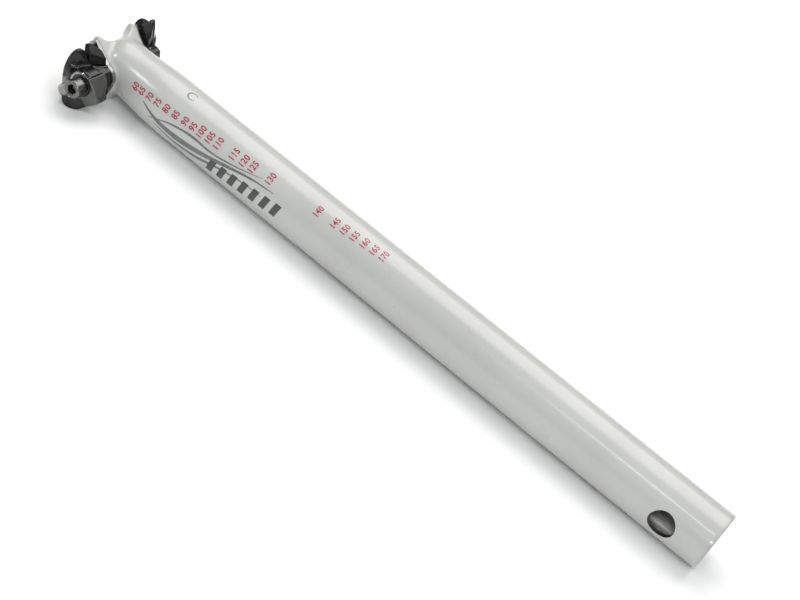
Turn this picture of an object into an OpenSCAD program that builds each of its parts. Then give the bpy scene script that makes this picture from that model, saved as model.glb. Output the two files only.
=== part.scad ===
// Bicycle seatpost lying on its side. X runs up the shaft towards the head,
// Y is the transverse direction of the clamp bolt, Z is up and is the rear of
// the post when it stands in a frame. The floor is at z = 0 and the origin is
// below the middle of the whole part.

/* [Shaft] */
// Outside diameter of the shaft
post_d = 27.2; // [26.8:0.2:27.6]
// Wall thickness of the shaft
wall = 2.2; // [1.8:0.1:2.6]
// Length from the lower end to the axis of the clamp bolt
bolt_h = 331; // [220:1:380]
// Diameter of the cross hole near the lower end
hole_d = 12.2; // [8:0.2:13]
// Distance from the lower end to the axis of the cross hole
hole_h = 21.2; // [14:0.2:40]

/* [Head] */
// Lean of the rail clamps from square to the shaft, in degrees
lean = 18; // [17:0.5:19]
// Radius of the ears about the bolt
ear_r = 16.3; // [15.6:0.1:16.8]
// Half width of the painted head
head_w = 12.4; // [12.2:0.1:12.6]
// Width of each bare metal side face
face_w = 1.9; // [1.6:0.1:2]
// Height of the flat top of the head above the bolt
top_n = 9.2; // [8.6:0.2:9.6]
// How far the head reaches past the bolt along the shaft
reach = 12.6; // [12.2:0.1:12.8]

/* [Rail clamps] */
// Distance of each saddle rail from the middle
rail_v = 22; // [21.8:0.1:22.2]
// Height of the rail centre above the bolt
rail_n = 9.4; // [9.2:0.1:9.8]
// Radius of the rail grooves
rail_r = 3.55; // [3.5:0.05:3.6]
// Height of the top of the cradles above the bolt
cradle_top = 7.9; // [7.4:0.1:8.2]
// Height of the top of the outer jaws above the bolt
jaw_top = 10.8; // [10.4:0.1:11.2]
// Distance of the outer faces of the jaws from the middle
jaw_out = 31.4; // [31:0.1:32]

/* [Bolt] */
// Radius of the bolt's shank
bolt_r = 2.5; // [2.4:0.05:2.6]
// Radius of the bolt's head
bolt_head_r = 4.2; // [4:0.05:4.3]
// Distance of the face of the bolt's head from the middle
bolt_face = 36; // [35:0.5:37]

/* [Hidden] */
R = post_d / 2;
bx = (bolt_h - reach) / 2;           // the bolt's axis along X
by = (jaw_out - bolt_face) / 2;      // the middle of the shaft along Y
x0 = bx - bolt_h;                    // the lower end
cl = cos(lean);
sl = sin(lean);
face_v = head_w + face_w;            // outer face of the bare metal sides
cradle_in = face_v + 0.1;
cradle_out = rail_v - 0.15;
jaw_in = rail_v + 0.15;
hub_r = 5.6;
hub_out = 19.8;
carrier_out = 29.9;
seat_r = bolt_r + 0.15;              // clearance holes for the bolt

function arc(cx, cy, r, a0, a1, n) =
    [for (i = [0:n]) let (a = a0 + (a1 - a0) * i / n) [cx + r * cos(a), cy + r * sin(a)]];

// Clamp frame: local x runs to the rear along the rails, local y up towards the
// saddle, local z outwards along the bolt; side = 1 is left and -1 is right.
module clamp_frame(side = 1)
    translate([bx, by, R])
        mirror([0, side < 0 ? 1 : 0, 0])
            multmatrix([[sl, cl, 0, 0], [0, 0, 1, 0], [cl, -sl, 0, 0], [0, 0, 0, 1]])
                children();

module slab(v0, v1) translate([0, 0, v0]) linear_extrude(v1 - v0) children();

// A plan view in (along the rails, along the bolt), extruded through the height
module plan(n0, n1)
    translate([0, n1, 0]) rotate([90, 0, 0]) linear_extrude(n1 - n0) children();

// A section in (along the bolt, height), extruded along the rails
module section(r0, r1)
    translate([r0, 0, 0]) multmatrix([[0, 0, 1, 0], [0, 1, 0, 0], [1, 0, 0, 0], [0, 0, 0, 1]])
        linear_extrude(r1 - r0) children();

// Side view of the ears: a fan that opens upwards from a boss around the bolt
module fan(inset = 0) {
    polygon([[2.5, -3.6 + inset], [18.6, 7.6 + inset], [18.6, top_n - inset],
             [-18.6, top_n - inset], [-18.6, 4.4 + inset], [-4, -4.4 + inset]]);
    circle(r = 5.6 - inset, $fn = 64);
}

module ears() {
    difference() {
        intersection() {
            slab(-head_w, head_w) fan();
            rotate_extrude($fn = 96)
                polygon([[0, -head_w], [ear_r + 0.1, -head_w], [ear_r + 0.8, -head_w + 0.5], [ear_r + 1.1, -11.2],
                         [ear_r + 0.2, -10.4], [ear_r - 1.0, -9.5], [ear_r - 1.9, -8.3], [ear_r - 2.5, -7],
                         [ear_r - 3.0, -5.5], [ear_r - 3.35, -3.4], [ear_r - 3.55, -1.2], [ear_r - 3.55, 1.2],
                         [ear_r - 3.35, 3.4], [ear_r - 3.0, 5.5], [ear_r - 2.5, 7], [ear_r - 1.9, 8.3],
                         [ear_r - 1.0, 9.5], [ear_r + 0.2, 10.4], [ear_r + 1.1, 11.2], [ear_r + 0.8, head_w - 0.5],
                         [ear_r + 0.1, head_w], [0, head_w]]);
            translate([-15.8, -30, -30]) cube([31.6, 60, 60]);
        }
        // the channel between the ears, along the rails
        translate([0, top_n + 8.4, 0]) rotate([0, 90, 0]) cylinder(h = 60, r = 12, center = true, $fn = 96);
    }
    for (s = [-1, 1]) scale([1, 1, s])
        intersection() {
            slab(head_w - 0.4, face_v) fan(0.4);
            translate([0, 0, head_w - 0.4]) cylinder(h = face_w + 0.4, r = ear_r - 0.2, $fn = 96);
        }
}

// The neck narrows above the straight shaft and ends in a dome around the bolt
module neck()
    translate([bx, by, R + 0.94]) rotate([0, 90, 0]) rotate([0, -2, 0])
        rotate_extrude($fn = 96)
            polygon(concat([[0, -32], [R - 1.2, -32], [R - 0.02, -27], [R - 0.12, -24], [R - 0.3, -21], [R - 0.52, -18],
                            [R - 0.76, -15], [R - 1.0, -12], [R - 1.22, -9], [R - 1.38, -6], [R - 1.45, -3]],
                           arc(0, 0, R - 1.45, 0, 84, 14), [[0, (R - 1.45) * sin(84)]]));

module shaft_outline() {
    translate([x0, by, R]) rotate([0, 90, 0]) {
        cylinder(h = 0.6, r1 = R - 0.5, r2 = R, $fn = 96);
        translate([0, 0, 0.6]) cylinder(h = bolt_h - 28.6, r = R, $fn = 96);
        // the straight shaft eases into the neck
        translate([0, 0, bolt_h - 28]) cylinder(h = 1.5, r1 = R, r2 = R - 0.3, $fn = 96);
    }
}

module post_body() color([0.93, 0.93, 0.9])
    difference() {
        union() {
            shaft_outline();
            intersection() {
                union() {
                    neck();
                    clamp_frame() ears();
                }
                // the head is faced off square to the shaft, above and in front
                translate([bx - 60, -30, 0]) cube([60 + reach, 60, 60]);
            }
        }
        // the hollow shaft, closed by a dome below the head
        translate([x0 - 1, by, R]) rotate([0, 90, 0]) {
            cylinder(h = bolt_h - 35, r = R - wall, $fn = 96);
            translate([0, 0, bolt_h - 35]) cylinder(h = 6, r1 = R - wall, r2 = R - wall - 2.4, $fn = 96);
            translate([0, 0, bolt_h - 29]) cylinder(h = 4, r1 = R - wall - 2.4, r2 = 4, $fn = 96);
            cylinder(h = 1.6, r1 = R - wall + 1.6, r2 = R - wall, $fn = 96);
        }
        // the cross hole, drilled through both walls
        translate([x0 + hole_h, by, R]) rotate([90, 0, 0]) cylinder(h = 60, r = hole_d / 2, center = true, $fn = 96);
        // the bolt's hole
        translate([bx, by, R]) rotate([90, 0, 0]) cylinder(h = 60, r = bolt_r + 0.08, center = true, $fn = 64);
    }

// Section of the clamp's hull: its underside rises outwards
function hull_low(lift) = [[cradle_in, -2.9 + lift], [17, -2.3 + lift], [20, -0.7 + lift], [22.4, 0.8 + lift],
                           [25, 2.5 + lift], [27, 4.3 + lift], [28.4, 6.0 + lift], [29.6, 7.6 + lift]];

// Stretches the rear end of an outline by k
function rear(pts, k) = [for (q = pts) [q[0] > 5 ? 5 + (q[0] - 5) * k : q[0], q[1]]];
// Side view of a cradle: a boat with rounded ends over the bolt
module cradle_side(k)
    polygon(rear(concat([[4.7, -3.4], [7.4, -2.2], [10.5, 0.4], [13.1, 3.0], [14.3, 4.5]],
                        arc(12.8, 6.2, 1.7, -20, 90, 6),
                        arc(-10.3, 6.0, 1.9, 90, 200, 6),
                        [[-11.2, 3.2], [-8.6, -0.6], [-4.7, -3.4]]), k));
module cradle_plan(k)
    polygon(rear([[-9.6, cradle_in], [11.6, cradle_in], [12.9, 15.3], [14.1, 16.8], [14.4, 18.2], [14.2, 19.4], [13.4, 20.5],
                  [12, 21.4], [11.8, cradle_out],
                  [-10.8, cradle_out], [-11.6, 20.6], [-12.1, 19.2], [-11.8, 17], [-10.8, 15.4]], k));

module cradle(side, k) color([0.12, 0.12, 0.13]) clamp_frame(side)
    difference() {
        intersection() {
            slab(cradle_in, cradle_out) cradle_side(k);
            plan(-6, 12) cradle_plan(k);
            section(-20, 20)
                polygon(concat(hull_low(1.75), [[30, 14], [cradle_in, 14]]));
        }
        // seat over the jaw's hub
        cylinder(h = 40, r = hub_r + 0.12, $fn = 64);
        // groove for the saddle rail
        translate([0, rail_n, rail_v]) rotate([0, 90, 0]) cylinder(h = 60, r = rail_r, center = true, $fn = 64);
    }
module left_cradle() cradle(1, 1);
// the right cradle reaches further to the rear
module right_cradle() cradle(-1, 1.22);

// Side view of an outer jaw: an arch with rounded ends
module jaw_side() {
    polygon([[4.6, -2.9], [5.8, -2.3], [6.4, 0.2], [7.2, 1.8], [10.6, 3.2], [12.8, 4.2], [14, 5], [14.3, 5.8], [13.9, 6.6],
             [12.2, 7.7], [9.9, 8.9], [7.6, 9.8], [4.8, jaw_top - 0.3], [1.6, jaw_top], [-1.6, jaw_top],
             [-4.8, jaw_top - 0.3], [-7.4, jaw_top - 0.7], [-9.6, 9.5], [-11, 8.7], [-11.9, 7.5], [-12.7, 6],
             [-13.3, 4.4], [-13.3, 3.2], [-12.9, 2.1], [-12.1, 0.8], [-10.8, -0.8], [-9, -2.2], [-6.6, -2.9]]);
}
// Plan view of an outer jaw: curved outside, straight inside
module jaw_plan()
    polygon([[-8.4, cradle_in], [6.2, cradle_in], [6.6, 20], [8, jaw_in], [12.2, jaw_in], [13.2, 22.9], [14, 24], [14.3, 25.2],
             [14.1, 26.4], [13.2, 27.6], [11.8, 28.2], [9.2, 28.7], [6, 29.1], [2, 29.4], [-2, 29.7], [-6, 30.3],
             [-9, 30.9], [-11, 31.1], [-12, 30.8], [-12.8, 29.9], [-13.2, 28.6], [-13.3, 25], [-12.6, 23.2], [-11.4, jaw_in],
             [-8.8, jaw_in], [-8.4, 20]]);
// Below this line the left jaw gives way to the bolt's carrier
module carrier_line(gap)
    polygon([[1 + gap, 9], [1.4 + gap, 1.8], [3 + gap, -1.4], [4.6 + gap, -4.2 + gap], [9, -9], [9, -30], [-30, -30], [-30, 9]]);

module jaw(side) color([0.16, 0.16, 0.17]) clamp_frame(side)
    difference() {
        union() {
            difference() {
                intersection() {
                    slab(cradle_in, 33) jaw_side();
                    // the front end is flat where the part lies on it
                    multmatrix([[cl, -sl, 0, 0], [-sl, -cl, 0, 0], [0, 0, 1, 0], [0, 0, 0, 1]])
                        translate([-R, -30, 0]) cube([60, 60, 40]);
                    plan(-6, 14) jaw_plan();
                    union() {
                        section(-8, 20)
                            polygon(concat(hull_low(0), [[jaw_out, 9.2], [jaw_out, 14], [cradle_in, 14]]));
                        section(-20, -7)
                            polygon([[cradle_in, -2.9], [17, -2.3], [20, -0.9], [22.2, 0.2], [24.2, 1.5], [27, 2.5], [29, 3.6],
                                     [30.2, 4.9], [31.2, 7], [31.2, 14], [cradle_in, 14]]);
                    }
                    // the ends rise further than the middle
                    union() {
                        translate([-20, -10, 0]) cube([26.6, 40, 40]);
                        section(6, 20)
                            polygon(concat([[cradle_in, -1]], [for (q = hull_low(1.1)) if (q[0] > 17) q], [[jaw_out, 14], [cradle_in, 14]]));
                    }
                }
                // room for the cradle
                difference() {
                    section(-20, 20)
                        polygon(concat([[cradle_in - 1, -2.9 + 1.6]], [for (q = hull_low(1.6)) if (q[0] < jaw_in) q],
                                       [[jaw_in, 0.8 + 1.5], [jaw_in, 15], [cradle_in - 1, 15]]));
                    cylinder(h = 40, r = hub_r, $fn = 64);
                }
            }
            // hub around the bolt, under the cradle, flat below
            difference() {
                translate([0, 0, cradle_in]) cylinder(h = hub_out - cradle_in, r = hub_r, $fn = 64);
                translate([-20, -24.3, 0]) cube([40, 20, 40]);
            }
            // on the left, the upper half of the boss behind the bolt's head
            if (side > 0)
                difference() {
                    union() {
                        translate([0, 0, 22]) cylinder(h = 6.9, r = 6.8, $fn = 96);
                        translate([0, 0, 28.9]) cylinder(h = 1, r1 = 6.8, r2 = 6.0, $fn = 96);
                        translate([0, 0, 19]) cylinder(h = 3, r1 = hub_r + 0.1, r2 = 6.8, $fn = 96);
                    }
                    slab(18, 40) carrier_line(0);
                    difference() {
                        slab(18, jaw_in) square(40, center = true);
                        translate([0, 0, 17]) cylinder(h = 10, r = hub_r, $fn = 64);
                    }
                }
            // raised pad outside the rail
            intersection() {
                translate([-4.6, 8.5, 26]) cylinder(h = jaw_out - 26, r = 2.9, $fn = 48);
                section(-20, 20) polygon([[25, 5.6], [28, 6], [jaw_out, 8.2], [jaw_out, 14], [25, 14]]);
            }
        }
        translate([0, rail_n, rail_v]) rotate([0, 90, 0]) cylinder(h = 60, r = rail_r, center = true, $fn = 64);
        cylinder(h = 60, r = seat_r, $fn = 64);
        // room for the washer and the bolt's head on the left and the nut on the right
        if (side > 0) {
            translate([0, 0, carrier_out - 1]) cylinder(h = 20, r = 4.85, $fn = 64);
        } else {
            translate([0, 0, 17]) cylinder(h = 20, r = 3.95, $fn = 64);
        }
    }
module left_jaw() jaw(1);
module right_jaw() jaw(-1);

// Side view of the bolt's carrier: a rounded wedge that hangs below the bolt
module carrier_side()
    intersection() {
        polygon(concat([[4.8, -4.4], [4.8, 6], [-6.1, 6], [-6.7, 4.8], [-6.7, -1.2], [-7.6, -1.3]],
                       arc(-6.8, -3.2, 2.0, 110, 205, 5),
                       arc(-4.3, -7.1, 2.6, 205, 300, 10)));
        carrier_line(-0.15);
    }

module bolt_carrier() color([0.55, 0.55, 0.54]) clamp_frame()
    difference() {
        intersection() {
            slab(19.3, carrier_out) carrier_side();
            // its upper face slopes with the jaw's underside and its lower face with the bolt's head
            section(-20, 20)
                polygon([[19.3, -6.2], [19.3, -4.45], [20, -4.45], [20, -0.85], [22.4, 0.65], [25, 2.35], [27, 4.15], [28, 5.3], [carrier_out, 5.3],
                         [carrier_out, -8.2], [29.4, -9], [28.2, -9.6], [26.6, -9.4], [20.4, -6.9]]);
        }
        cylinder(h = 60, r = seat_r, $fn = 64);
        // counterbore for the washer
        translate([0, 0, carrier_out - 1]) cylinder(h = 5, r = 4.85, $fn = 64);
        // slot in the inner edge
        translate([-6.0, -7.5, 18]) cube([3.6, 4.9, 3.4]);
    }

module bolt_washer() color([0.75, 0.75, 0.76]) clamp_frame()
    difference() {
        translate([0, 0, carrier_out - 1]) cylinder(h = 1, r = 4.7, $fn = 64);
        cylinder(h = 60, r = seat_r, $fn = 64);
    }

// Socket bolt: the head is on the left, the threaded end is in the nut on the right
module clamp_bolt() color([0.7, 0.7, 0.71]) clamp_frame()
    difference() {
        union() {
            translate([0, 0, -20.1]) cylinder(h = 20.1 + carrier_out, r = bolt_r, $fn = 64);
            translate([0, 0, -20.6]) cylinder(h = 0.5, r1 = bolt_r - 0.5, r2 = bolt_r, $fn = 64);
            translate([0, 0, carrier_out]) cylinder(h = bolt_face - carrier_out - 0.5, r = bolt_head_r, $fn = 64);
            translate([0, 0, bolt_face - 0.5]) cylinder(h = 0.5, r1 = bolt_head_r, r2 = bolt_head_r - 0.5, $fn = 64);
        }
        // hexagon socket with its drill point
        translate([0, 0, bolt_face - 3.6]) cylinder(h = 6, r = 2.45, $fn = 6);
        translate([0, 0, bolt_face - 4.5]) cylinder(h = 1, r1 = 0.2, r2 = 2.0, $fn = 32);
    }

// Round nut, sunk in the right jaw, with two slots for a key
module clamp_nut() color([0.7, 0.7, 0.71]) clamp_frame(-1)
    difference() {
        union() {
            translate([0, 0, 17.1]) cylinder(h = 2.3, r = 3.85, $fn = 64);
            translate([0, 0, 19.4]) cylinder(h = 0.4, r1 = 3.85, r2 = 3.45, $fn = 64);
        }
        cylinder(h = 60, r = bolt_r + 0.02, $fn = 64);
        translate([-5, -0.6, 18.8]) cube([10, 1.2, 4]);
    }

post_body();
left_cradle();
right_cradle();
left_jaw();
right_jaw();
bolt_carrier();
clamp_bolt();
bolt_washer();
clamp_nut();
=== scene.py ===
import math
import random

import bmesh
import bpy
import numpy as np
from mathutils import Matrix, Vector


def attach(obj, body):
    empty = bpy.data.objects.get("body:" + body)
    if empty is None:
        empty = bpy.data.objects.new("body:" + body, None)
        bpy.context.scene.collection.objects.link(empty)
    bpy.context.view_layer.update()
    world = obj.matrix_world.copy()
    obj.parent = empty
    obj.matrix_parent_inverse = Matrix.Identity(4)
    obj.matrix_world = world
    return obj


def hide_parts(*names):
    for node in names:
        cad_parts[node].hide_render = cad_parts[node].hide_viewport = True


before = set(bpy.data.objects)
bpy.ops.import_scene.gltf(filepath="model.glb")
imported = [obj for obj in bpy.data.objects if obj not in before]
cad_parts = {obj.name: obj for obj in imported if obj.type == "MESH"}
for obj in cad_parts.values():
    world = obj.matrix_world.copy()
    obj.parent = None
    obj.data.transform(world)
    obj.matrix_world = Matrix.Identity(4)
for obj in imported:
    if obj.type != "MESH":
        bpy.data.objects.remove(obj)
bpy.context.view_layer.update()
scene = bpy.context.scene
random.seed(7)

# ---------------------------------------------------------------- camera
cam_data = bpy.data.cameras.new("camera")
cam = bpy.data.objects.new("camera", cam_data)
scene.collection.objects.link(cam)
cam_data.sensor_width = 36.0
cam_data.lens = 78.522
cam_data.clip_start = 0.01
cam.matrix_world = Matrix((
    (-0.758956, 0.611969, -0.222439, -0.171799),
    (-0.523931, -0.371104, 0.766667, 0.570600),
    (0.386629, 0.698409, 0.602282, 0.458852),
    (0.0, 0.0, 0.0, 1.0)))
scene.camera = cam
scene.view_settings.view_transform = "Standard"
scene.view_settings.look = "None"

# ---------------------------------------------------------------- sizes of the frame, in mm
R = 13.6
BX = 159.2
BY = -2.3
X0 = -171.8
LEAN = math.radians(18)
SL, CL = math.sin(LEAN), math.cos(LEAN)
HEAD_W = 12.4
BORE = 11.4
JOIN = BX - 41.0
MM = 0.001


def clamp_point(r, n, v):
    return ((BX + r * SL + n * CL) * MM, (BY + v) * MM, (R + r * CL - n * SL) * MM)


def link(name, mesh, body, slot, *stands_for):
    o = bpy.data.objects.new(name, mesh)
    scene.collection.objects.link(o)
    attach(o, body)
    if stands_for:
        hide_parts(*stands_for)
    return o


def smooth(mesh, angle=None):
    mesh.polygons.foreach_set("use_smooth", [True] * len(mesh.polygons))
    if angle is not None:
        mesh.set_sharp_from_angle(angle=math.radians(angle))
    mesh.update()


# ---------------------------------------------------------------- materials
def material(name):
    m = bpy.data.materials.new(name)
    m.use_nodes = True
    nt = m.node_tree
    b = nt.nodes["Principled BSDF"]
    tc = nt.nodes.new("ShaderNodeTexCoord")
    return m, nt, b, tc.outputs["Object"]


def noise(nt, coord, scale, detail=3.0, rough=0.5, stretch=None):
    if stretch:
        mp = nt.nodes.new("ShaderNodeMapping")
        mp.inputs["Scale"].default_value = stretch
        nt.links.new(coord, mp.inputs["Vector"])
        coord = mp.outputs["Vector"]
    n = nt.nodes.new("ShaderNodeTexNoise")
    n.inputs["Scale"].default_value = scale
    n.inputs["Detail"].default_value = detail
    n.inputs["Roughness"].default_value = rough
    nt.links.new(coord, n.inputs["Vector"])
    return n.outputs["Fac"]


def ramp(nt, value, a, b, lo=0.0, hi=1.0, step="SMOOTHSTEP"):
    n = nt.nodes.new("ShaderNodeMapRange")
    n.interpolation_type = step
    n.inputs["From Min"].default_value = a
    n.inputs["From Max"].default_value = b
    n.inputs["To Min"].default_value = lo
    n.inputs["To Max"].default_value = hi
    nt.links.new(value, n.inputs["Value"])
    return n.outputs["Result"]


def mixc(nt, fac, a, b):
    n = nt.nodes.new("ShaderNodeMix")
    n.data_type = "RGBA"
    for key, value in ((6, a), (7, b)):
        if isinstance(value, tuple):
            n.inputs[key].default_value = (*value, 1.0)
        else:
            nt.links.new(value, n.inputs[key])
    nt.links.new(fac, n.inputs[0])
    return n.outputs[2]


def mixf(nt, fac, a, b):
    n = nt.nodes.new("ShaderNodeMix")
    n.data_type = "FLOAT"
    for key, value in ((2, a), (3, b)):
        if isinstance(value, (int, float)):
            n.inputs[key].default_value = value
        else:
            nt.links.new(value, n.inputs[key])
    nt.links.new(fac, n.inputs[0])
    return n.outputs[0]


def math_node(nt, op, a, b=None):
    n = nt.nodes.new("ShaderNodeMath")
    n.operation = op
    for key, value in ((0, a), (1, b)):
        if value is None:
            continue
        if isinstance(value, (int, float)):
            n.inputs[key].default_value = value
        else:
            nt.links.new(value, n.inputs[key])
    return n.outputs[0]


def bump(nt, b, height, strength, distance, before=None):
    n = nt.nodes.new("ShaderNodeBump")
    n.inputs["Strength"].default_value = strength
    n.inputs["Distance"].default_value = distance
    nt.links.new(height, n.inputs["Height"])
    if before is not None:
        nt.links.new(before, n.inputs["Normal"])
    if b is not None:
        nt.links.new(n.outputs["Normal"], b.inputs["Normal"])
    return n.outputs["Normal"]


def axis(nt, coord, which):
    n = nt.nodes.new("ShaderNodeSeparateXYZ")
    nt.links.new(coord, n.inputs[0])
    return n.outputs[which]


def pointiness(nt, lo, hi):
    g = nt.nodes.new("ShaderNodeNewGeometry")
    return ramp(nt, g.outputs["Pointiness"], lo, hi)


def paint_material():
    """Gloss warm white paint."""
    m, nt, b, co = material("white_paint")
    broad = noise(nt, co, 28, 3)
    fine = noise(nt, co, 420, 4)
    c1 = mixc(nt, ramp(nt, broad, 0.3, 0.7), (0.475, 0.478, 0.455), (0.505, 0.508, 0.488))
    c2 = mixc(nt, ramp(nt, fine, 0.62, 0.85, 0.0, 0.10), c1, (0.455, 0.455, 0.435))
    # the paint is darkened over the last two millimetres at the open end, and handling dulls the gloss in patches
    end = ramp(nt, axis(nt, co, 0), (X0 + 0.3) * MM, (X0 + 2.2) * MM, 0.35, 0.0)
    nt.links.new(mixc(nt, end, c2, (0.28, 0.28, 0.27)), b.inputs["Base Color"])
    nt.links.new(ramp(nt, noise(nt, co, 70, 3), 0.3, 0.7, 0.27, 0.36), b.inputs["Roughness"])
    b.inputs["Coat Weight"].default_value = 0.45
    b.inputs["Coat Roughness"].default_value = 0.16
    b.inputs["IOR"].default_value = 1.5
    bump(nt, b, noise(nt, co, 500, 2), 0.05, 0.00003)
    return m


def machined_material():
    """Bare turned alloy on the side faces of the head."""
    m, nt, b, co = material("machined_alloy")
    streak = noise(nt, co, 900, 3, 0.6, (0.3, 1.0, 0.3))
    grain = noise(nt, co, 1500, 3, 0.6)
    nt.links.new(mixc(nt, ramp(nt, grain, 0.3, 0.7), (0.24, 0.24, 0.235), (0.34, 0.34, 0.335)), b.inputs["Base Color"])
    b.inputs["Metallic"].default_value = 1.0
    nt.links.new(ramp(nt, streak, 0.35, 0.75, 0.28, 0.42), b.inputs["Roughness"])
    bump(nt, b, streak, 0.05, 0.00003)
    return m


def bare_metal(name="bare_metal"):
    """Drawn aluminium inside the shaft, with fine lines along it."""
    m, nt, b, co = material(name)
    lines = noise(nt, co, 1800, 3, 0.6, (0.03, 1.0, 1.0))
    spots = noise(nt, co, 160, 4)
    nt.links.new(mixc(nt, ramp(nt, spots, 0.35, 0.7), (0.20, 0.20, 0.20), (0.36, 0.36, 0.355)), b.inputs["Base Color"])
    b.inputs["Metallic"].default_value = 1.0
    nt.links.new(ramp(nt, lines, 0.3, 0.7, 0.30, 0.48), b.inputs["Roughness"])
    bump(nt, b, lines, 0.25, 0.00003)
    return m


def rail_axis(nt, coord):
    """Place along the rails, in metres from the bolt."""
    n = nt.nodes.new("ShaderNodeVectorMath")
    n.operation = "DOT_PRODUCT"
    nt.links.new(coord, n.inputs[0])
    n.inputs[1].default_value = (SL, 0.0, CL)
    return math_node(nt, "SUBTRACT", n.outputs["Value"], (BX * SL + R * CL) * MM)


def black_material(name, base, edge, r0, r1, coarse=0.10, coat=0.55, rim=None):
    """Black anodised forging: a faint skin from the die, brighter where the edges are rubbed; where rim is given, the
    outer rim is painted lighter grey as a painted highlight.
    """
    m, nt, b, co = material(name)
    skin = noise(nt, co, 1400, 4, 0.6)
    blotch = noise(nt, co, 130, 3)
    rub = math_node(nt, "MULTIPLY", pointiness(nt, 0.515, 0.57), ramp(nt, noise(nt, co, 420, 4, 0.65), 0.42, 0.62))
    body = mixc(nt, ramp(nt, blotch, 0.3, 0.7), base, tuple(x * 1.5 for x in base))
    # painted highlight: the outer rim is painted a lighter grey and brightened further, standing in for a reflection of
    # the lamps on it
    if rim:
        out = math_node(nt, "ABSOLUTE", math_node(nt, "SUBTRACT", axis(nt, co, 1), BY * MM))
        along = rail_axis(nt, co)
        ragged = math_node(nt, "ADD", out, ramp(nt, blotch, 0.2, 0.8, -0.0009, 0.0009, "LINEAR"))
        where = math_node(nt, "MULTIPLY", ramp(nt, ragged, rim[0] * MM, (rim[0] + 1.2) * MM), ramp(nt, along, rim[1] * MM, (rim[1] + 1.5) * MM))
        where = math_node(nt, "MULTIPLY", where, ramp(nt, along, rim[2] * MM, (rim[2] + 1.5) * MM, 1.0, 0.0))
        body = mixc(nt, where, body, mixc(nt, ramp(nt, noise(nt, co, 260, 4, 0.6), 0.35, 0.65), (0.13, 0.13, 0.125), (0.34, 0.34, 0.335)))
        rub = math_node(nt, "MAXIMUM", rub, math_node(nt, "MULTIPLY", where, 0.3))
    nt.links.new(mixc(nt, rub, body, edge), b.inputs["Base Color"])
    nt.links.new(mixf(nt, rub, 0.85, 1.0), b.inputs["Metallic"])
    nt.links.new(mixf(nt, rub, ramp(nt, skin, 0.3, 0.7, r0, r1), 0.16), b.inputs["Roughness"])
    b.inputs["Coat Weight"].default_value = coat
    b.inputs["Coat Roughness"].default_value = 0.12
    bump(nt, b, skin, coarse, 0.00003, bump(nt, None, blotch, 0.25, 0.0002))
    return m


def grey_material():
    """Grey anodised block, satin, with tumbled edges."""
    m, nt, b, co = material("grey_alloy")
    grain = noise(nt, co, 2200, 3, 0.6)
    cloud = noise(nt, co, 170, 3)
    rub = math_node(nt, "MULTIPLY", pointiness(nt, 0.52, 0.58), ramp(nt, cloud, 0.35, 0.6))
    body = mixc(nt, ramp(nt, cloud, 0.3, 0.7), (0.105, 0.108, 0.100), (0.135, 0.138, 0.130))
    nt.links.new(mixc(nt, rub, body, (0.5, 0.5, 0.5)), b.inputs["Base Color"])
    b.inputs["Metallic"].default_value = 1.0
    nt.links.new(mixf(nt, rub, ramp(nt, grain, 0.3, 0.7, 0.30, 0.42), 0.24), b.inputs["Roughness"])
    bump(nt, b, grain, 0.05, 0.00002)
    return m


def steel_material(name="steel", base=(0.50, 0.50, 0.50), rough=(0.16, 0.28)):
    """Bright plated steel with turning marks."""
    m, nt, b, co = material(name)
    marks = noise(nt, co, 2600, 2, 0.6, (1.0, 0.12, 1.0))
    spots = noise(nt, co, 700, 4, 0.6)
    pit = ramp(nt, spots, 0.66, 0.76, 0.0, 0.5)
    nt.links.new(mixc(nt, pit, mixc(nt, ramp(nt, marks, 0.3, 0.7), base, tuple(min(1, x * 1.25) for x in base)), (0.16, 0.15, 0.14)), b.inputs["Base Color"])
    b.inputs["Metallic"].default_value = 1.0
    nt.links.new(ramp(nt, marks, 0.3, 0.7, *rough), b.inputs["Roughness"])
    bump(nt, b, marks, 0.12, 0.00002)
    return m


def ink_material(name, colour, under=(0.49, 0.49, 0.47), loss=(0.60, 0.70), scale=1500):
    """Printed ink, uneven and partly worn through to the paint."""
    m, nt, b, co = material(name)
    gaps = ramp(nt, noise(nt, co, scale, 3, 0.6), *loss)
    tone = mixc(nt, ramp(nt, noise(nt, co, 500, 3), 0.3, 0.7), colour, tuple(x * 0.72 for x in colour))
    nt.links.new(mixc(nt, gaps, tone, under), b.inputs["Base Color"])
    nt.links.new(mixf(nt, gaps, 0.42, 0.30), b.inputs["Roughness"])
    b.inputs["Coat Weight"].default_value = 0.6
    b.inputs["Coat Roughness"].default_value = 0.1
    bump(nt, b, gaps, 0.1, 0.00002)
    return m


PAINT = paint_material()
BARE = bare_metal()
MACHINED = machined_material()
BLACK = black_material("black_anodised", (0.010, 0.010, 0.011), (0.16, 0.16, 0.16), 0.36, 0.50, 0.10, 0.10)
# painted highlight: both jaw materials paint their outer rims lighter grey in place of a reflection
GLOSS_PAINTED_RIM = black_material("black_polished", (0.017, 0.017, 0.017), (0.50, 0.50, 0.50), 0.16, 0.26, 0.06, 0.30, (28.9, -7.5, 30.0))
GLOSS_PAINTED_RIM_R = black_material("black_polished_right", (0.017, 0.017, 0.017), (0.50, 0.50, 0.50), 0.16, 0.26, 0.06, 0.30, (28.9, -30.0, 7.0))
GREY = grey_material()
STEEL = steel_material("steel", (0.15, 0.15, 0.145), (0.22, 0.34))
DARKSTEEL = steel_material("dark_steel", (0.07, 0.07, 0.07), (0.28, 0.40))
RED = ink_material("red_ink", (0.44, 0.007, 0.046))
GREYINK = ink_material("grey_ink", (0.130, 0.145, 0.150), loss=(0.66, 0.76), scale=900)
DARKINK = ink_material("dark_ink", (0.030, 0.034, 0.036), loss=(0.70, 0.80), scale=900)


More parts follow.
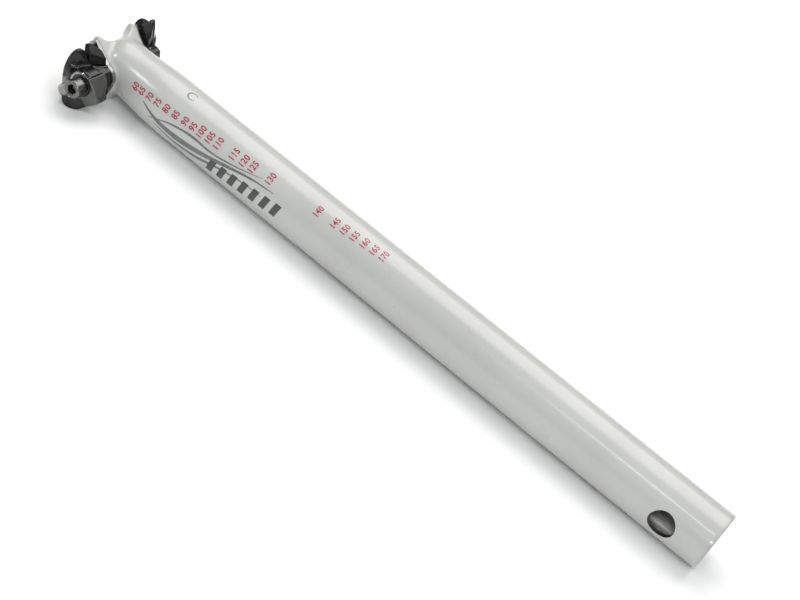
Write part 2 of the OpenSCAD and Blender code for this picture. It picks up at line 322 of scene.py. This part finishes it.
# ---------------------------------------------------------------- shaft
def neck_centre(xr):
    """Height of the middle of the neck above the shaft's axis; xr is along X from the bolt."""
    t = (xr + 27.0) / 3.0
    return 0.0349 * 3.0 * math.log1p(math.exp(min(t, 40.0))) if t < 40 else 0.0349 * (xr + 27.0)


NECK_T = np.array([-60, -36, -31, -27, -24, -21, -18, -15, -12, -9, -6, -3, 0.0])
NECK_R = np.array([R, R, R - 0.01, R - 0.045, R - 0.13, R - 0.30, R - 0.52, R - 0.76, R - 1.0, R - 1.21, R - 1.36, R - 1.44, R - 1.45])


def neck_radius(xr):
    """A smooth curve through the neck's radii."""
    t = min(max(xr, -59.9), -0.01)
    i = int(np.searchsorted(NECK_T, t)) - 1
    i = max(0, min(i, len(NECK_T) - 2))
    h = NECK_T[i + 1] - NECK_T[i]
    s = (t - NECK_T[i]) / h

    def slope(k):
        k0, k1 = max(k - 1, 0), min(k + 1, len(NECK_T) - 1)
        return (NECK_R[k1] - NECK_R[k0]) / (NECK_T[k1] - NECK_T[k0])
    p0, p1, m0, m1 = NECK_R[i], NECK_R[i + 1], slope(i) * h, slope(i + 1) * h
    return (2 * s**3 - 3 * s**2 + 1) * p0 + (s**3 - 2 * s**2 + s) * m0 + (-2 * s**3 + 3 * s**2) * p1 + (s**3 - s**2) * m1


def build_shaft():
    """The tube in quads, with a cross hole whose edge is rounded, from the lower end to the join with the head."""
    seg = 192
    hx, hr = X0 + 21.2, 6.1
    half, k = 8.5, 24          # the patch around each hole: along X, and segments each side
    px = list(np.linspace(hx - half, hx + half, 35))
    verts, faces, mats = [], [], []

    def add(x, y, z):
        verts.append((x * MM, (BY + y) * MM, (R + z) * MM))
        return len(verts) - 1

    def ring(x, r):
        return [add(x, r * math.cos(2 * math.pi * i / seg), r * math.sin(2 * math.pi * i / seg)) for i in range(seg)]

    def quad(a, b, c, d, m):
        faces.append((a, b, c, d))
        mats.append(m)

    def skin(xs, r, m, outward):
        """Rings at xs with two holes in them; returns the rings and the rim of each hole."""
        rows = [ring(x, r) for x in xs]
        i0, i1 = xs.index(px[0]), xs.index(px[-1])
        for j in range(len(rows) - 1):
            for i in range(seg):
                n = (i + 1) % seg
                near = i < k or i >= seg - k
                far = seg // 2 - k <= i < seg // 2 + k
                if i0 <= j < i1 and (near or far):
                    continue
                a, b, c, d = rows[j][i], rows[j][n], rows[j + 1][n], rows[j + 1][i]
                quad(*((a, d, c, b) if outward else (a, b, c, d)), m)
        rims = []
        for side in (1, -1):
            base = 0 if side == 1 else seg // 2
            edge = [(i0, (base + s * side) % seg) for s in range(-k, k)]
            edge += [(j, (base + k * side) % seg) for j in range(i0, i1)]
            edge += [(i1, (base + s * side) % seg) for s in range(k, -k, -1)]
            edge += [(j, (base - k * side) % seg) for j in range(i1, i0, -1)]
            outer = [rows[j][i] for j, i in edge]
            xz = [(xs[j], r * math.sin(2 * math.pi * i / seg)) for j, i in edge]
            loops, last = [], outer
            for f in (0.18, 0.36, 0.54, 0.70, 0.83, 0.93, 1.0):
                loop = []
                for x, z in xz:
                    phi = math.atan2(z, x - hx)
                    rr = hr + (0.3 if outward else 0.0)
                    tx, tz = hx + rr * math.cos(phi), rr * math.sin(phi)
                    qx, qz = x + (tx - x) * f, z + (tz - z) * f
                    loop.append(add(qx, side * math.sqrt(r * r - qz * qz), qz))
                n = len(loop)
                for q in range(n):
                    a, b, c, d = last[q], last[(q + 1) % n], loop[(q + 1) % n], loop[q]
                    quad(*((a, b, c, d) if (side == 1) == outward else (a, d, c, b)), m)
                last = loop
            rims.append((side, last, [math.atan2(z, x - hx) for x, z in xz]))
        return rows, rims

    coarse = list(np.arange(px[-1] + 3.0, JOIN - 1.0, 3.2))
    xs = [X0 + 0.6, X0 + 2.5, X0 + 5.5, X0 + 9.0] + px + coarse + [JOIN]
    outer, orims = skin(xs, R, 0, True)
    inner, irims = skin(xs, BORE, 1, False)
    for (side, orim, phis), (_, irim, _) in zip(orims, irims):
        last = orim
        for a in (22.5, 45, 67.5, 90):
            s, c = math.sin(math.radians(a)), math.cos(math.radians(a))
            rr, deep = hr + 0.3 * (1 - s), 0.3 * (1 - c)
            loop = []
            for phi in phis:
                z = rr * math.sin(phi)
                loop.append(add(hx + rr * math.cos(phi), side * (math.sqrt(R * R - z * z) - deep), z))
            n = len(loop)
            for q in range(n):
                v = (last[q], last[(q + 1) % n], loop[(q + 1) % n], loop[q])
                quad(*(v if side == 1 else (v[0], v[3], v[2], v[1])), 0 if a < 60 else 1)
            last = loop
        for f in (0.5, 1.0):
            loop = []
            for q, phi in enumerate(phis):
                a, b = Vector(verts[last[q]]), Vector(verts[irim[q]])
                if f == 1.0:
                    loop.append(irim[q])
                else:
                    p = a.lerp(b, 0.5)
                    verts.append(tuple(p))
                    loop.append(len(verts) - 1)
            n = len(loop)
            for q in range(n):
                v = (last[q], last[(q + 1) % n], loop[(q + 1) % n], loop[q])
                quad(*(v if side == 1 else (v[0], v[3], v[2], v[1])), 1)
            last = loop
    # the open end: rounded outside, chamfered inside
    last, m = outer[0], 0
    for x, r, m in ((0.36, R - 0.06, 0), (0.16, R - 0.2, 0), (0.03, R - 0.42, 0), (0.0, R - 0.62, 1), (0.0, BORE + 0.72, 1), (0.06, BORE + 0.55, 1)):
        loop = ring(X0 + x, r)
        for i in range(seg):
            n = (i + 1) % seg
            quad(last[i], loop[i], loop[n], last[n], m)
        last = loop
    for i in range(seg):
        n = (i + 1) % seg
        quad(last[i], inner[0][i], inner[0][n], last[n], 1)
        quad(outer[-1][i], outer[-1][n], inner[-1][n], inner[-1][i], 1)
    mesh = bpy.data.meshes.new("shaft")
    mesh.from_pydata(verts, [], faces)
    mesh.polygons.foreach_set("material_index", mats)
    bm = bmesh.new()
    bm.from_mesh(mesh)
    bmesh.ops.recalc_face_normals(bm, faces=bm.faces)
    bm.to_mesh(mesh)
    bm.free()
    smooth(mesh, 38)
    mesh.materials.append(PAINT)
    mesh.materials.append(BARE)
    return mesh


link("shaft", build_shaft(), "post", "white_paint", "post_body")


# ---------------------------------------------------------------- remeshed forgings
def cad_copy(node):
    """The node's mesh, welded, as a new mesh."""
    bm = bmesh.new()
    bm.from_mesh(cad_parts[node].data)
    bmesh.ops.remove_doubles(bm, verts=bm.verts, dist=2e-6)
    mesh = bpy.data.meshes.new(node + "_copy")
    bm.to_mesh(mesh)
    bm.free()
    return mesh


def evaluated(mesh, *mods):
    """The mesh after these modifiers, each (type, {settings})."""
    o = bpy.data.objects.new("work", mesh)
    scene.collection.objects.link(o)
    for kind, settings in mods:
        md = o.modifiers.new(kind, kind)
        for key, value in settings.items():
            setattr(md, key, value)
    dg = bpy.context.evaluated_depsgraph_get()
    out = bpy.data.meshes.new_from_object(o.evaluated_get(dg))
    bpy.data.objects.remove(o)
    return out


def coords(mesh):
    co = np.zeros(len(mesh.vertices) * 3)
    mesh.vertices.foreach_get("co", co)
    return co.reshape(-1, 3)


def edges_of(mesh):
    e = np.zeros(len(mesh.edges) * 2, np.int64)
    mesh.edges.foreach_get("vertices", e)
    return e.reshape(-1, 2)


def normals_of(mesh):
    n = np.zeros(len(mesh.vertices) * 3)
    mesh.vertices.foreach_get("normal", n)
    return n.reshape(-1, 3)


def average(values, e, count):
    """The mean of each vertex's neighbours."""
    out = np.empty_like(values)
    for k in range(values.shape[1]):
        out[:, k] = (np.bincount(e[:, 0], values[e[:, 1], k], len(values)) + np.bincount(e[:, 1], values[e[:, 0], k], len(values))) / count
    return out


def relax(mesh, rounds, weight=None, lam=0.5, back=0.0):
    """Moves each vertex towards its neighbours; back undoes part of the shrinking."""
    co, e = coords(mesh), edges_of(mesh)
    count = np.maximum(np.bincount(e.ravel(), minlength=len(co)), 1)
    w = np.ones(len(co)) if weight is None else weight
    for _ in range(rounds):
        co += lam * w[:, None] * (average(co, e, count) - co)
        if back:
            co -= back * w[:, None] * (average(co, e, count) - co)
    mesh.vertices.foreach_set("co", co.ravel())
    mesh.update()
    return mesh


def hollow_weight(mesh, gain=1.0, spread=8):
    """High where the surface is concave, faded out around it."""
    co, e = coords(mesh), edges_of(mesh)
    count = np.maximum(np.bincount(e.ravel(), minlength=len(co)), 1)
    h = np.einsum("ij,ij->i", average(co, e, count) - co, normals_of(mesh))
    h = np.clip(h / 2.5e-5 * gain, 0, 1)[:, None]
    for _ in range(spread):
        h = np.maximum(h, average(h, e, count) * 1.02)
        h = np.clip(h, 0, 1)
    return h[:, 0]


def build_head():
    """Head and neck as one forging: soft fillets between the ears and the neck, exact round surfaces below."""
    mesh = cad_copy("post_body")
    bm = bmesh.new()
    bm.from_mesh(mesh)
    bmesh.ops.bisect_plane(bm, geom=bm.verts[:] + bm.edges[:] + bm.faces[:], plane_co=((JOIN - 6) * MM, 0, 0), plane_no=(-1, 0, 0), clear_outer=True)
    # the machined side faces are pieces of their own
    for side in (1, -1):
        faces = [f for f in bm.faces if all(v.co.x > (BX - 10) * MM for v in f.verts)]
        geom = faces + list({e for f in faces for e in f.edges}) + list({v for f in faces for v in f.verts})
        bmesh.ops.bisect_plane(bm, geom=geom, plane_co=(0, (BY + side * (HEAD_W + 0.01)) * MM, 0), plane_no=(0, side, 0), clear_outer=True)
        bmesh.ops.holes_fill(bm, edges=[e for e in bm.edges if e.is_boundary])
    bmesh.ops.triangulate(bm, faces=bm.faces)
    bm.to_mesh(mesh)
    bm.free()
    mesh = evaluated(mesh, ("REMESH", {"mode": "VOXEL", "voxel_size": 0.00036}))
    relax(mesh, 5, lam=0.5, back=0.35)
    co = coords(mesh) / MM
    # the flat side faces and the bolt's hole keep their edges; the rest is let go round
    side = np.abs(co[:, 1] - BY) > HEAD_W - 0.25
    w = hollow_weight(mesh, 1.0, 10)
    w[side] = 0.0
    w[co[:, 0] < BX - 24] = 0.0
    relax(mesh, 70, w, 0.5)
    relax(mesh, 4, np.where(side, 0.35, 1.0), 0.4)
    co = coords(mesh) / MM
    nrm = normals_of(mesh)
    # the neck and the shaft are true surfaces of revolution
    for i in range(len(co)):
        x, y, z = co[i]
        xr = x - BX
        if xr > -5.0:
            continue
        cz = R + neck_centre(xr)
        dy, dz = y - BY, z - cz
        d = math.hypot(dy, dz)
        if d < 12.0:
            continue
        rad = neck_radius(xr)
        off = abs(d - rad)
        f = 1.0 - min(max((off - 0.16) / 0.22, 0.0), 1.0)
        f *= min(max((-5.0 - xr) / 3.0, 0.0), 1.0)
        if f > 0:
            d2 = d + (rad - d) * f
            co[i] = (x, BY + dy / d * d2, cz + dz / d * d2)
            slope = (neck_radius(xr + 0.3) - neck_radius(xr - 0.3)) / 0.6
            n = np.array((-slope, dy / d, dz / d))
            n /= np.linalg.norm(n)
            nrm[i] = nrm[i] * (1 - f) + n * f
    mesh.vertices.foreach_set("co", (co * MM).ravel())
    mesh.update()
    att = mesh.attributes.new("_shade", "FLOAT_VECTOR", "POINT")
    att.data.foreach_set("vector", nrm.astype(np.float32).ravel())
    bm = bmesh.new()
    bm.from_mesh(mesh)
    bmesh.ops.bisect_plane(bm, geom=bm.verts[:] + bm.edges[:] + bm.faces[:], plane_co=(JOIN * MM, 0, 0), plane_no=(-1, 0, 0), clear_outer=True)
    bmesh.ops.holes_fill(bm, edges=[e for e in bm.edges if e.is_boundary])
    bm.to_mesh(mesh)
    bm.free()
    smooth(mesh)
    shade = np.zeros(len(mesh.vertices) * 3, np.float32)
    mesh.attributes["_shade"].data.foreach_get("vector", shade)
    shade = shade.reshape(-1, 3)
    co = coords(mesh) / MM
    live = normals_of(mesh)
    xr = co[:, 0] - BX
    radial = np.hypot(co[:, 1] - BY, co[:, 2] - R)
    ok = (xr < -8) & (xr > JOIN - BX - 0.01) & (radial > 12.0) & (np.linalg.norm(shade, axis=1) > 0.5)
    live[ok] = shade[ok]
    live /= np.maximum(np.linalg.norm(live, axis=1), 1e-9)[:, None]
    mesh.attributes.remove(mesh.attributes["_shade"])
    mesh.materials.clear()
    mesh.materials.append(PAINT)
    mesh.materials.append(BARE)
    inner = (radial < 11.9) & (xr < -20)
    mats = [1 if all(inner[v] for v in p.vertices) else 0 for p in mesh.polygons]
    mesh.polygons.foreach_set("material_index", mats)
    mesh.normals_split_custom_set_from_vertices([tuple(n) for n in live])
    return mesh


link("head", build_head(), "post", "white_paint", "post_body")


def build_face(side):
    """The bare face on one side of the head, with a small bevel; its inner end is sunk into the head."""
    mesh = cad_copy("post_body")
    bm = bmesh.new()
    bm.from_mesh(mesh)
    bmesh.ops.bisect_plane(bm, geom=bm.verts[:] + bm.edges[:] + bm.faces[:], plane_co=(0, (BY + side * (HEAD_W + 0.03)) * MM, 0), plane_no=(0, -side, 0), clear_outer=True)
    bmesh.ops.delete(bm, geom=[v for v in bm.verts if v.co.x < (BX - 10) * MM], context="VERTS")
    rim = [e for e in bm.edges if e.is_boundary]
    made = bmesh.ops.extrude_edge_only(bm, edges=rim)
    for g in made["geom"]:
        if isinstance(g, bmesh.types.BMVert):
            g.co.y -= side * 0.00045
    bmesh.ops.recalc_face_normals(bm, faces=bm.faces)
    bm.to_mesh(mesh)
    bm.free()
    mesh = evaluated(mesh, ("BEVEL", {"width": 0.00010, "segments": 3, "limit_method": "ANGLE", "angle_limit": math.radians(50)}))
    smooth(mesh, 35)
    mesh.materials.clear()
    mesh.materials.append(MACHINED)
    return mesh


link("face_left", build_face(1), "post", "white_paint", "post_body")
link("face_right", build_face(-1), "post", "white_paint", "post_body")


def forging(node, name, mat, slot, voxel=0.00024, first=7, hollow=25):
    mesh = evaluated(cad_copy(node), ("REMESH", {"mode": "VOXEL", "voxel_size": voxel}))
    relax(mesh, first, lam=0.5, back=0.30)
    if hollow:
        w = hollow_weight(mesh, 1.0, 6)
        relax(mesh, hollow, w, 0.5)
        relax(mesh, 3, None, 0.35)
    smooth(mesh)
    mesh.materials.clear()
    mesh.materials.append(mat)
    return link(name, mesh, "clamp", slot, node)


forging("left_jaw", "jaw_left", GLOSS_PAINTED_RIM, "black_polished")
forging("right_jaw", "jaw_right", GLOSS_PAINTED_RIM_R, "black_polished")
forging("left_cradle", "cradle_left", BLACK, "black_anodised")
forging("right_cradle", "cradle_right", BLACK, "black_anodised")
forging("bolt_carrier", "carrier", GREY, "grey_alloy", 0.00022, 16, 30)


# ---------------------------------------------------------------- bolt, washer and nut
def build_bolt():
    """Socket-head bolt with a rolled thread on its far end."""
    seg = 96
    verts, faces = [], []

    def ring(v, radius):
        out = []
        for i in range(seg):
            a = 2 * math.pi * i / seg
            r = radius(a) if callable(radius) else radius
            verts.append(clamp_point(r * math.cos(a), r * math.sin(a), v))
            out.append(len(verts) - 1)
        return out

    def hexa(corner):
        def r(a):
            q = (a % (math.pi / 3)) - math.pi / 6
            return min(corner * math.cos(math.pi / 6) / math.cos(q), corner * 0.985)
        return r

    rows = []
    pitch = 0.8
    v = -20.6
    while v < -6.0:
        cap = min(2.0 + (v + 20.6), 2.49)
        fade = min(max((-6.8 - v) / 1.2, 0.0), 1.0)
        rows.append(ring(v, lambda a, v=v, cap=cap, fade=fade: min(cap, 2.49 - 0.19 * fade * (1 + math.cos(2 * math.pi * v / pitch - a)))))
        v += 0.1
    start = rows[0]
    for v, r in ((-5.9, 2.49), (5, 2.49), (15, 2.49), (29.0, 2.49), (29.7, 2.5), (29.9, 2.62), (29.92, 3.7), (29.98, 3.92),
                 (30.12, 4.08), (30.35, 4.17), (30.6, 4.2), (32.0, 4.2), (34.0, 4.2), (35.2, 4.2), (35.45, 4.18), (35.66, 4.1),
                 (35.83, 3.97), (35.94, 3.80), (35.99, 3.62), (36.0, 3.45), (36.0, 2.95), (35.98, 2.78), (35.92, 2.70)):
        rows.append(ring(v, r))
    rows.append(ring(35.60, hexa(2.45)))
    rows.append(ring(35.5, hexa(2.45)))
    rows.append(ring(32.5, hexa(2.44)))
    rows.append(ring(32.4, hexa(2.38)))
    for v, r in ((32.38, 2.0), (31.95, 1.2), (31.55, 0.3)):
        rows.append(ring(v, r))
    for a, b in zip(rows, rows[1:]):
        for i in range(seg):
            n = (i + 1) % seg
            faces.append((a[i], a[n], b[n], b[i]))
    verts.append(clamp_point(0, 0, -20.6))
    verts.append(clamp_point(0, 0, 31.5))
    for i in range(seg):
        n = (i + 1) % seg
        faces.append((len(verts) - 2, start[n], start[i]))
        faces.append((len(verts) - 1, rows[-1][i], rows[-1][n]))
    mesh = bpy.data.meshes.new("bolt")
    mesh.from_pydata(verts, [], faces)
    bm = bmesh.new()
    bm.from_mesh(mesh)
    bmesh.ops.recalc_face_normals(bm, faces=bm.faces)
    bm.to_mesh(mesh)
    bm.free()
    smooth(mesh, 40)
    mesh.materials.append(STEEL)
    return mesh


link("bolt", build_bolt(), "clamp", "steel", "clamp_bolt")


def bevelled(node, name, width, mat):
    mesh = evaluated(cad_copy(node), ("BEVEL", {"width": width, "segments": 3, "limit_method": "ANGLE", "angle_limit": math.radians(40)}))
    smooth(mesh, 40)
    mesh.materials.clear()
    mesh.materials.append(mat)
    return link(name, mesh, "clamp", "steel", node)


bevelled("bolt_washer", "washer", 0.00012, DARKSTEEL)
bevelled("clamp_nut", "nut", 0.00010, STEEL)


# ---------------------------------------------------------------- print on the shaft
def wrap(s, arc, lift):
    """A point of the print: s mm below the bolt, arc mm round the shaft from its left side."""
    xr = -s
    r = neck_radius(xr) + lift
    a = arc / R
    return ((BX + xr) * MM, (BY + r * math.cos(a)) * MM, (R + neck_centre(xr) + r * math.sin(a)) * MM)


def film(name, polys, mat, top=0.035, deep=0.05):
    """A thin closed film on the shaft from flat faces: polys is a list of (points, faces) in (s, arc) mm."""
    bm = bmesh.new()
    for pts, fcs in polys:
        vs = [bm.verts.new((p[0], p[1], 0.0)) for p in pts]
        for f in fcs:
            try:
                bm.faces.new([vs[i] for i in f])
            except ValueError:
                pass
    bmesh.ops.remove_doubles(bm, verts=bm.verts, dist=1e-4)
    bmesh.ops.triangulate(bm, faces=bm.faces)
    for _ in range(5):
        long = [e for e in bm.edges if e.calc_length() > 0.7]
        if not long:
            break
        bmesh.ops.subdivide_edges(bm, edges=long, cuts=1, use_grid_fill=False)
        bmesh.ops.triangulate(bm, faces=[f for f in bm.faces if len(f.verts) > 3])
    for f in bm.faces:
        f.normal_update()
        if f.normal.z < 0:
            f.normal_flip()
    flat = bm.faces[:]
    made = bmesh.ops.extrude_face_region(bm, geom=flat)
    for v in [g for g in made["geom"] if isinstance(g, bmesh.types.BMVert)]:
        v.co.z = 1.0
    # the faces that were extruded are the underside now
    for v in bm.verts:
        s, arc = v.co.x, v.co.y
        v.co = Vector(wrap(s, arc, top if v.co.z > 0.5 else -deep))
    bmesh.ops.recalc_face_normals(bm, faces=bm.faces)
    mesh = bpy.data.meshes.new(name)
    bm.to_mesh(mesh)
    bm.free()
    smooth(mesh, 40)
    mesh.materials.append(mat)
    return link(name, mesh, "post", "white_paint")


def number_polys(text, s, arc, height=3.0):
    """A number printed across the shaft, its top towards the head."""
    cu = bpy.data.curves.new("n", "FONT")
    cu.body = text
    cu.size = height / 0.70
    cu.align_x = "CENTER"
    cu.space_character = 1.08
    cu.resolution_u = 3
    cu.offset = 0.105
    o = bpy.data.objects.new("n", cu)
    scene.collection.objects.link(o)
    bpy.context.view_layer.update()
    dg = bpy.context.evaluated_depsgraph_get()
    me = bpy.data.meshes.new_from_object(o.evaluated_get(dg))
    pts = [(s - (v.co.y - height / 2), arc + v.co.x * 0.86) for v in me.vertices]
    fcs = [tuple(p.vertices) for p in me.polygons]
    bpy.data.objects.remove(o)
    bpy.data.curves.remove(cu)
    return pts, fcs


def line_arc(s):
    """The row of numbers drifts round the shaft."""
    return math.radians(20.5 + 0.33 * (s - 15.0)) * R


S1 = [15.3, 19.0, 23.8, 28.4, 33.4, 38.6, 43.9, 48.4, 52.8, 57.6, 62.3, 71.0, 76.4, 81.3, 90.8]
S2 = [116.4, 125.4, 130.5, 135.6, 140.9, 146.0, 150.9]
polys = []
for i, s in enumerate(S1):
    polys.append(number_polys(str(60 + 5 * i), s, line_arc(s)))
for i, s in enumerate(S2):
    polys.append(number_polys(str(140 + 5 * i), s, line_arc(s), 2.8))
film("height_scale", polys, RED)


def ribbon(points, widths, across=4):
    """A tapering stroke through (s, arc) points."""
    n = 48
    pts, fcs = [], []
    P = [Vector((a, b, 0)) for a, b in points]

    def at(t):
        t = t * (len(P) - 1)
        i = min(int(t), len(P) - 2)
        u = t - i
        p0, p1, p2, p3 = P[max(i - 1, 0)], P[i], P[i + 1], P[min(i + 2, len(P) - 1)]
        return 0.5 * ((2 * p1) + (p2 - p0) * u + (2 * p0 - 5 * p1 + 4 * p2 - p3) * u * u + (3 * p1 - p0 - 3 * p2 + p3) * u**3)
    for j in range(n + 1):
        t = j / n
        d = (at(min(t + 0.01, 1)) - at(max(t - 0.01, 0))).normalized()
        side = Vector((-d.y, d.x, 0))
        w = float(np.interp(t, np.linspace(0, 1, len(widths)), widths))
        for q in range(across + 1):
            p = at(t) + side * w * (q / across - 0.5)
            pts.append((p.x, p.y))
    for j in range(n):
        for q in range(across):
            a = j * (across + 1) + q
            fcs.append((a, a + 1, a + across + 2, a + across + 1))
    return pts, fcs


# a plain ornament of sweeping bands, and a row of slanted bars
film("band_a", [ribbon([(22, 2.0), (32, -1.5), (44, -2.2), (57, -0.4), (70, 2.6), (84, 5.5), (96, 6.6)], [0.3, 2.0, 3.0, 2.3, 1.5, 0.8, 0.2])], GREYINK)
film("band_b", [ribbon([(27, -2.8), (38, 1.6), (50, 3.6), (62, 3.4), (74, 5.2), (88, 8.6)], [0.2, 0.8, 1.2, 0.9, 0.5, 0.15])], GREYINK, 0.042)
film("band_c", [ribbon([(30, -3.6), (42, -5.6), (55, -4.2), (67, -0.8), (80, 1.4), (92, 1.9)], [0.2, 1.2, 1.7, 1.1, 0.6, 0.15])], GREYINK, 0.049)
bars = []
for i in range(7):
    s0 = 62.0 + i * 6.0
    bars.append(([(s0, -5.6 + i * 0.55), (s0 + 3.2, -5.6 + i * 0.55), (s0 + 4.6, 0.9 + i * 0.55), (s0 + 1.4, 0.9 + i * 0.55)], [(0, 1, 2, 3)]))
film("bars", bars, DARKINK, 0.056)
ring_pts, ring_fcs = [], []
for i in range(49):
    a = math.radians(35 + 290 * i / 48)
    w = 0.10 + 0.42 * math.sin(math.pi * i / 48)
    for r in (2.0 - w / 2, 2.0 + w / 2):
        ring_pts.append((38.5 + r * math.cos(a) * 1.15, math.radians(77) * R + r * math.sin(a)))
for i in range(48):
    ring_fcs.append((2 * i, 2 * i + 1, 2 * i + 3, 2 * i + 2))
film("ring_mark", [(ring_pts, ring_fcs)], DARKINK)

# ---------------------------------------------------------------- floor and light
floor_mesh = bpy.data.meshes.new("floor")
floor_mesh.from_pydata([(-6, -6, 0), (6, -6, 0), (6, 6, 0), (-6, 6, 0)], [], [(0, 1, 2, 3)])
floor = bpy.data.objects.new("floor", floor_mesh)
scene.collection.objects.link(floor)
floor.location.z = -0.00005
fm, fnt, fb, fco = material("floor")
fnt.links.new(mixc(fnt, noise(fnt, fco, 3, 2), (0.90, 0.90, 0.90), (0.93, 0.93, 0.925)), fb.inputs["Base Color"])
fb.inputs["Roughness"].default_value = 0.9
fb.inputs["Specular IOR Level"].default_value = 0.1
floor_mesh.materials.append(fm)

world = bpy.data.worlds.new("world")
scene.world = world
world.use_nodes = True
world.node_tree.nodes["Background"].inputs[0].default_value = (0.93, 0.97, 1.0, 1.0)
world.node_tree.nodes["Background"].inputs[1].default_value = 0.33


def softbox(name, at, target, size, power, colour=(1, 1, 1)):
    l = bpy.data.lights.new(name, "AREA")
    l.shape = "RECTANGLE"
    l.size, l.size_y = size
    l.energy = power
    l.color = colour
    o = bpy.data.objects.new(name, l)
    scene.collection.objects.link(o)
    o.location = at
    o.rotation_euler = (Vector(target) - Vector(at)).to_track_quat("-Z", "Y").to_euler()
    return o


softbox("key", (0.20, -0.60, 1.30), (0.02, 0, 0), (1.7, 1.3), 19.5, (1.0, 0.985, 0.95))
softbox("side", (-0.9, 0.5, 1.2), (0, 0, 0), (0.9, 0.9), 6.5, (0.96, 0.985, 1.0))
softbox("strip", (-0.085, 0.70, 1.04), (-0.12, 0, 0), (0.22, 0.03), 0.9)
softbox("glint", (0.95, 0.75, 0.80), (0.16, 0.02, 0.01), (0.20, 0.14), 2.6)
softbox("rim", (-0.35, 0.95, 0.55), (0.16, 0.02, 0.01), (0.16, 0.10), 1.6)
